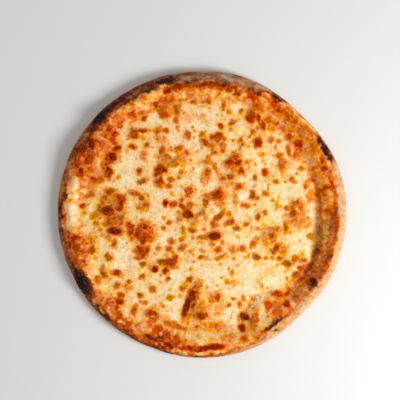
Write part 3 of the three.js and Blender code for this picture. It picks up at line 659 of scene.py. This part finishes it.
class Rings:  # rings of points, from a middle point out and in again to another one
    def __init__(self):
        self.counts, self.radii, self.angles, self.heights, self.painted = [], [], [], [], []

    def add(self, count, radius, height=0.0, painted=None):  # painted is the radius whose colour it takes
        angle = np.arange(count) / count * 2 * np.pi
        radius = radius(angle) if callable(radius) else radius + 0 * angle
        self.counts.append(count)
        self.angles.append(angle)
        self.radii.append(radius)
        self.heights.append(height(radius, angle) if callable(height) else height + 0 * angle)
        self.painted.append(radius if painted is None else painted(angle))

    def flat(self):
        return [np.concatenate(part) for part in (self.radii, self.angles, self.heights, self.painted)]

    def faces(self):
        starts = np.cumsum([0] + self.counts)
        rings = [range(starts[i], starts[i + 1]) for i in range(len(self.counts))]
        return [face for before, after in zip(rings, rings[1:]) for face in zipRings(before, after)]


def linked(name, data):
    made = bpy.data.objects.new(name, data)
    bpy.context.collection.objects.link(made)
    return made


def makePiece(name, rings, radius, angle, height, fields, material, node):
    x, y = plan(radius, angle)
    points = np.stack((x - middleX, y - middleY, height), axis=1) * mm
    points = np.clip(points, np.array(cadBox[0]), np.array(cadBox[1]))
    faces = rings.faces()
    mesh = bpy.data.meshes.new(name)
    mesh.from_pydata(points.tolist(), [], faces)
    mesh.polygons.foreach_set("use_smooth", [True] * len(faces))
    for title, values in fields.items():
        attribute = mesh.attributes.new(title, "FLOAT", "POINT")
        attribute.data.foreach_set("value", values.astype(np.float32))
    piece = linked(name, mesh)
    piece.data.materials.append(material)
    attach(piece, "root")
    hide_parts(node)
    print(name + ":", len(faces), "faces")


# Shader maths

class Link:  # one output, with operators that add Math nodes
    def __init__(self, finish, socket):
        self.finish, self.socket = finish, socket

    def maths(self, operation, first, second, clamped=False):
        return self.finish.node("Math", dict(operation=operation, use_clamp=clamped), {0: first, 1: second})

    def __add__(self, other):
        return self.maths("ADD", self, other)

    __radd__ = __add__

    def __sub__(self, other):
        return self.maths("SUBTRACT", self, other)

    def __rsub__(self, other):
        return self.maths("SUBTRACT", other, self)

    def __mul__(self, other):
        return self.maths("MULTIPLY", self, other)

    __rmul__ = __mul__

    def clamped(self):
        return self.maths("ADD", self, 0, clamped=True)


def shade(red, green, blue):  # sRGB, 0 to 255, as the shader's linear colour
    linear = [c / 255 / 12.92 if c <= 10 else ((c / 255 + 0.055) / 1.055) ** 2.4 for c in (red, green, blue)]
    return (*linear, 1)


class Finish:  # one material
    def __init__(self, name):
        self.material = bpy.data.materials.new(name)
        self.material.use_nodes = True
        self.tree = self.material.node_tree
        self.tree.nodes.clear()

    def node(self, kind, settings=None, inputs=None, output=0):
        made = self.tree.nodes.new("ShaderNode" + kind)
        for key, value in (settings or {}).items():
            if key == "stops":
                self.fillRamp(made.color_ramp, value)
            else:
                setattr(made, key, value)
        for key, value in (inputs or {}).items():
            if isinstance(value, Link):
                self.tree.links.new(value.socket, made.inputs[key])
            else:
                made.inputs[key].default_value = value
        return Link(self, made.outputs[output]) if len(made.outputs) else made

    def fillRamp(self, ramp, stops):
        ramp.elements.remove(ramp.elements[1])
        ramp.elements[0].color = shade(*stops[0][1:])
        for place, *colour in stops[1:]:
            ramp.elements.new(place).color = shade(*colour)

    def field(self, name):
        return self.node("Attribute", dict(attribute_name=name), output=2)

    def noise(self, scale, detail, roughness):  # 0 to 1, its scale in bumps per metre
        place = self.node("TexCoord", output=3)
        inputs = {"Vector": place, "Scale": scale, "Detail": detail, "Roughness": roughness}
        return self.node("TexNoise", dict(noise_dimensions="3D"), inputs)

    def wobble(self, scale, detail, roughness):  # the same noise on both sides of zero
        return self.noise(scale, detail, roughness) - 0.5

    def ramp(self, value, stops):
        return self.node("ValToRGB", dict(stops=stops), {0: value})

    def stepped(self, value, low, high):  # 0 below low, 1 above high
        return self.node("MapRange", dict(interpolation_type="SMOOTHSTEP"),
                         {0: value, 1: low, 2: high, 3: 0.0, 4: 1.0})

    def mixed(self, share, first, second):
        return self.node("Mix", dict(data_type="RGBA"), {0: share, 6: first, 7: second}, output=2)

    def bumped(self, height, strength, depth):
        return self.node("Bump", None, {"Height": height, "Strength": strength, "Distance": depth})

    def surface(self, inputs):
        shader = self.node("BsdfPrincipled", None, inputs)
        self.node("OutputMaterial", None, {"Surface": shader})
        return self.material


# Colours of the bake

bakeColours = dict(
    # (place, red, green, blue) from hardly warmed to nearly burnt, for redder and for yellower places
    redder=[(0, 255, 237, 210), (.13, 255, 222, 174), (.26, 255, 203, 142), (.4, 252, 172, 98),
            (.53, 239, 136, 52), (.65, 219, 99, 22), (.77, 198, 61, 2), (.89, 160, 30, 0), (1, 116, 8, 0)],
    yellower=[(0, 255, 241, 195), (.13, 254, 228, 149), (.26, 250, 208, 110), (.4, 243, 177, 68),
              (.53, 226, 144, 36), (.65, 196, 111, 14), (.77, 160, 80, 2), (.89, 126, 49, 0),
              (1, 84, 25, 0)],
    # the sheen colour is a painted highlight, mixed over toasted cheese where oil would catch the light
    peach=shade(255, 214, 172), paintedSheen=shade(250, 172, 104),
    # from floury to burnt dough
    lipStops=[(0, 220, 178, 134), (.16, 212, 154, 102), (.36, 206, 132, 68), (.6, 174, 92, 36),
              (.82, 124, 54, 20), (1, 80, 32, 16)],
    flour=shade(198, 172, 140),
    charStops=[(0, 176, 84, 26), (.3, 130, 54, 16), (.5, 90, 34, 14), (.75, 48, 21, 18), (1, 22, 13, 17)],
    # lilac grey for flecks on the darkest char
    lilacGrey=shade(118, 94, 90),
    # noises, as (bumps per metre, detail, roughness)
    fine=(850, 4, 0.68), coarse=(300, 4, 0.6), peachy=(160, 3, 0.6), paintedGlints=(620, 3, 0.6),
    freckles=(1100, 2, 0.5), floury=(140, 3, 0.6), lilacFlecks=(520, 3, 0.6),
    vividness=(150, 1, 0.5), brightness=(800, 3, 0.75),
)


def cheeseTone(finish, toast, coarse, oily, onSlope):
    c = bakeColours
    onBed = 1 - onSlope
    yellowness = finish.field("golden") * 0.8 + finish.field("pools") * 0.75 + coarse * 0.2 - 0.1
    halfToasted = finish.stepped(toast, 0.08, 0.3) - finish.stepped(toast, 0.35, 0.6)
    yellowness = yellowness * (0.45 + onBed * 0.55) - oily * 0.28 + onSlope * halfToasted * 0.35
    yellowness = yellowness.clamped() * (1 - finish.stepped(toast, 0.5, 1) * 0.25)
    baked = finish.mixed(yellowness, finish.ramp(toast, c["redder"]), finish.ramp(toast, c["yellower"]))
    peachy = finish.stepped(finish.noise(*c["peachy"]), 0.46, 0.66) * onBed
    peachy = peachy * (1 - finish.stepped(toast, 0.15, 0.4))
    baked = finish.mixed(peachy * 0.7, baked, c["peach"])
    # painted highlight: lighter pinkish glints on the toasted cheese, fewer on the darkest and on the slope
    paintedGlints = finish.stepped(finish.noise(*c["paintedGlints"]), 0.56, 0.7) * finish.stepped(toast, 0.35, 0.6)
    paintedGlints = paintedGlints * (1 - finish.stepped(toast, 0.7, 0.95) * 0.5) * (0.2 + onBed * 0.2)
    return finish.mixed(paintedGlints, baked, c["paintedSheen"])


def doughTone(finish, fine, coarse):
    c = bakeColours
    freckles = finish.stepped(finish.noise(*c["freckles"]), 0.6, 0.72) * 0.3
    brown = finish.field("brown") + freckles + coarse * 0.9 + fine * 0.7
    flour = finish.field("flour")
    floury = (flour + finish.wobble(*c["floury"]) * 0.9).clamped() * flour
    return finish.mixed(floury, finish.ramp(brown, c["lipStops"]), c["flour"])


def charTone(finish, char):
    c = bakeColours
    # lilac-grey flecks on the darkest char
    lilacFlecks = finish.stepped(finish.noise(*c["lilacFlecks"]), 0.5, 0.68) * finish.stepped(char, 0.5, 0.8)
    return finish.mixed(lilacFlecks * 0.5, finish.ramp(char, c["charStops"]), c["lilacGrey"])


def foodColour(finish):
    c = bakeColours
    fine, coarse = finish.wobble(*c["fine"]), finish.wobble(*c["coarse"])
    heat, oily, onSlope = finish.field("toasting"), finish.field("oily"), finish.field("slope")
    toast = (heat + fine * (0.18 + heat * 0.2) + coarse * (0.16 + heat * 0.4)).clamped()
    char = finish.field("char") + fine * 0.6 + coarse * 0.9
    onLip = (finish.field("lip") + coarse * 0.5).clamped()
    colour = finish.mixed(onLip, cheeseTone(finish, toast, coarse, oily, onSlope),
                          doughTone(finish, fine, coarse))
    colour = finish.mixed(finish.stepped(char, 0.06, 0.5), colour, charTone(finish, char))
    # richest where it is hardly toasted, and where the oil lies
    pale = 1 - finish.stepped(toast, 0.5, 0.75)
    vivid = 1.01 + (finish.noise(*c["vividness"]) - 0.53) * pale * 0.45
    vivid = vivid + (oily * 0.075 - onSlope * 0.03) * (1 - finish.stepped(toast, 0.6, 0.85))
    # painted reflection: lighter where the oil lies
    bright = 1.012 + oily * 0.1 - onSlope * 0.04 + finish.wobble(*c["brightness"]) * 1.35
    return finish.node("HueSaturation", None, {"Saturation": vivid, "Value": bright, "Color": colour})


def foodFinish(name, skin):
    finish = Finish(name)
    grain = finish.noise(*skin["grain"]) + finish.noise(*skin["fineGrain"]) * skin["fineShare"]
    drier = finish.stepped(finish.field("toasting"), *skin["drierFrom"]) * skin["drier"]
    rough = skin["roughness"] + finish.wobble(*skin["roughNoise"]) * skin["roughSpread"] + drier
    return finish.surface({
        "Base Color": foodColour(finish), "Roughness": rough.clamped(),
        "Subsurface Weight": skin["softness"], "Subsurface Scale": skin["lightReach"],
        "Subsurface Radius": skin["lightSpread"],
        "Specular IOR Level": skin["gloss"], "Specular Tint": skin["glossTint"],
        "Normal": finish.bumped(grain, skin["bump"], skin["bumpDepth"])})


# Crust

crustSetup = dict(
    stations=1080, hiddenRadius=112, slopeSteps=30, lipSteps=24, skirtSteps=10, underSteps=46, underGrows=9,
    skinInset=0.3, skinDrop=0.05,
    bed=[(1, 0.0), (60, 30.0), (120, 60.0), (540, 100.0)], bedDrop=0.4,  # points and radius of each ring
    grain=[(0.16, 3.2, 81), (0.1, 1.8, 82)], grainFrom=(0, 4), sideFrom=(2, 9),
)
crustSkin = dict(
    roughness=0.66, roughSpread=0.3, roughNoise=(240, 3, 0.5), drier=0, drierFrom=(0.6, 1),
    grain=(600, 5, 0.65), fineGrain=(1900, 3, 0.6), fineShare=0.4, bump=0.8, bumpDepth=0.0008,
    softness=0.06, lightReach=0.002, lightSpread=(1.0, 0.5, 0.25), gloss=0.08, glossTint=(1, 0.85, 0.6, 1),
)


def makeCrust():
    m = crustSetup
    quarter = math.pi / 2
    rings = Rings()

    def outer(angle):
        return edge(angle) - m["skinInset"]

    def top(radius, angle):
        return doughTop(np.minimum(radius + m["skinInset"], edge(angle)), angle) - m["skinDrop"]

    for count, radius in m["bed"]:
        rings.add(count, radius, pizza["baseThickness"] - m["bedDrop"])
    for step in range(m["slopeSteps"]):
        share = step / m["slopeSteps"]
        rings.add(m["stations"],
                  lambda a: lerp(m["hiddenRadius"], outer(a) - pizza["crownInset"], share), top)
    for step in range(m["lipSteps"] + 1):
        reach = 1 - math.sin(step / m["lipSteps"] * quarter)
        rings.add(m["stations"], lambda a: outer(a) - pizza["crownInset"] * reach, top)
    for step in range(1, m["skirtSteps"] + 1):
        turn = step / m["skirtSteps"] * quarter
        rings.add(m["stations"], lambda a: outer(a) - pizza["undersideInset"] * (1 - math.cos(turn)),
                  pizza["widestHeight"] * (1 - math.sin(turn)), painted=outer)
    turnedUnder = sum(rings.counts)
    for step in range(m["underSteps"] - 1, -1, -1):
        share = step / m["underSteps"]
        rings.add(max(1, m["underGrows"] * step), lambda a: (outer(a) - pizza["undersideInset"]) * share)
    radius, angle, height, painted = rings.flat()
    onSide = painted > edge(angle) - pizza["crownInset"]
    crown = doughTop(edge(angle) - pizza["crownInset"], angle)
    drop = np.where(onSide, np.maximum(crown - height, 0), 0)
    x, y = plan(painted + drop, angle)
    grain = waved(x, y, m["grain"]) * smoothstep(height, *m["grainFrom"]) * (height > 0)
    fields = bakedFields(painted, angle, drop)
    for title, values in undersideFields(x[turnedUnder:], y[turnedUnder:]).items():
        fields[title][turnedUnder:] = values
    sideways = smoothstep(drop, *m["sideFrom"])
    makePiece("bakedCrust", rings, radius + grain * sideways, angle, height + grain * (1 - sideways),
              fields, foodFinish("bakedDough", crustSkin), "crust")


# Cheese

cheeseSetup = dict(
    rings=176, ringGrows=6, sunkFringe=0.35, underSteps=4, underCount=528, underDip=1.4, underTuck=0.4,
    underBed=[(240, 80.0), (120, 40.0), (1, 0.0)],  # points and radius of each ring
    dome=1.1, domeFrom=(0.3, 0.8), goldenRise=0.5, wrinkles=[(0.22, 3.4, 51), (0.12, 1.9, 52)],
    fringeFrom=(0.93, 1),  # neither domes nor wrinkles close to the fringe
)
cheeseSkin = dict(
    roughness=0.42, roughSpread=0.4, roughNoise=(180, 3, 0.5), drier=0.12, drierFrom=(0.6, 1),
    grain=(700, 5, 0.6), fineGrain=(2200, 3, 0.6), fineShare=0.35, bump=0.7, bumpDepth=0.0007,
    softness=0.12, lightReach=0.002, lightSpread=(1.0, 0.5, 0.2), gloss=0.08, glossTint=(1, 0.65, 0.25, 1),
)


def cheeseTop(radius, angle):
    x, y = plan(radius, angle)
    reach = fringe(angle)
    thin = smoothstep(radius, foot(angle) - pizza["thinsBefore"], reach)
    thickness = lerp(pizza["cheeseThickness"], -cheeseSetup["sunkFringe"], thin)
    thickness = thickness + pizza["layerGap"] * (1 - thin)
    mounds = highest(x, y, pizza["toastedMounds"])
    relief = waved(x, y, pizza["cheeseWaves"]) + mounds + ridged(x, y) + creased(x, y)
    return doughTop(radius, angle) + thickness + relief * (1 - thin)


def makeCheese():
    m = cheeseSetup
    rings = Rings()
    for step in range(m["rings"] + 1):
        rings.add(max(1, m["ringGrows"] * step), lambda a: fringe(a) * step / m["rings"])
    topCount = sum(rings.counts)
    for step in range(m["underSteps"] + 1):
        share = 1 - step / m["underSteps"]
        sunk = m["underDip"] * math.sin(math.pi * share) + m["underTuck"] * share
        rings.add(m["underCount"], lambda a: lerp(foot(a), fringe(a), share),
                  lambda r, a: doughTop(r, a) - sunk)
    for count, radius in m["underBed"]:
        rings.add(count, radius, pizza["baseThickness"])
    radius, angle, height, painted = rings.flat()
    fields = bakedFields(painted, angle, 0 * radius)
    domes = m["dome"] * smoothstep(fields["toasting"], *m["domeFrom"]) * (1 - fields["slope"])
    relief = domes + m["goldenRise"] * fields["golden"] + waved(*plan(radius, angle), m["wrinkles"])
    inner = 1 - smoothstep(radius / fringe(angle), *m["fringeFrom"])
    top = cheeseTop(radius, angle) + relief * inner
    height[:topCount] = top[:topCount]
    makePiece("meltedCheese", rings, radius, angle, height, fields,
              foodFinish("meltedMozzarella", cheeseSkin), "melted_cheese")


# Floor, light and camera

floorSetup = dict(
    half=1.5, colour=shade(232, 232, 230), greyer=shade(210, 210, 208), cloudy=(60, 2, 0.5), cloudShare=0.08,
    roughness=0.8,
)


def makeFloor():
    s = floorSetup
    finish = Finish("paleFloor")
    colour = finish.mixed(finish.noise(*s["cloudy"]) * s["cloudShare"], s["colour"], s["greyer"])
    mesh = bpy.data.meshes.new("floor")
    corners = [(s["half"] * x, s["half"] * y, 0) for x, y in ((-1, -1), (1, -1), (1, 1), (-1, 1))]
    mesh.from_pydata(corners, [], [(0, 1, 2, 3)])
    floor = linked("floor", mesh)
    floor.data.materials.append(finish.surface({"Base Color": colour, "Roughness": s["roughness"]}))
    print("floor:", 2 * s["half"], "m wide")


lighting = dict(
    key=dict(place=(0.9, -0.35, 0.75), power=14.5, size=0.5),
    fill=dict(place=(-0.7, 0.5, 0.9), power=2.0, size=1.0),
    world=shade(242, 240, 238), worldStrength=0.38,
)


def softLight(name, place, power, size):
    light = bpy.data.lights.new(name, "AREA")
    light.energy = power
    light.size = size
    lamp = linked(name, light)
    lamp.location = place
    lamp.rotation_euler = Vector(place).to_track_quat("Z", "Y").to_euler()
    print(name + " light:", power, "W")


def makeLights():
    softLight("key", **lighting["key"])
    softLight("fill", **lighting["fill"])
    world = bpy.data.worlds.new("studio")
    world.use_nodes = True
    background = world.node_tree.nodes["Background"]
    background.inputs["Color"].default_value = lighting["world"]
    background.inputs["Strength"].default_value = lighting["worldStrength"]
    bpy.context.scene.world = world
    bpy.context.scene.view_settings.view_transform = "Standard"


# frameWidth is what the picture spans at the level of the crust; aim is in the pizza's own millimetres
cameraSetup = dict(frameWidth=0.418, crustLevel=0.008, lens=85.0, sensor=36.0, aim=(-3.1, 14.6))


def makeCamera():
    s = cameraSetup
    data = bpy.data.cameras.new("camera")
    data.lens = s["lens"]
    data.sensor_width = s["sensor"]
    camera = linked("camera", data)
    height = s["frameWidth"] * s["lens"] / s["sensor"] + s["crustLevel"]
    camera.location = ((s["aim"][0] - middleX) * mm, (s["aim"][1] - middleY) * mm, height)
    bpy.context.scene.camera = camera
    print("camera:", round(height, 3), "m above the floor")


makeCamera()
makeFloor()
makeLights()
makeCrust()
makeCheese()
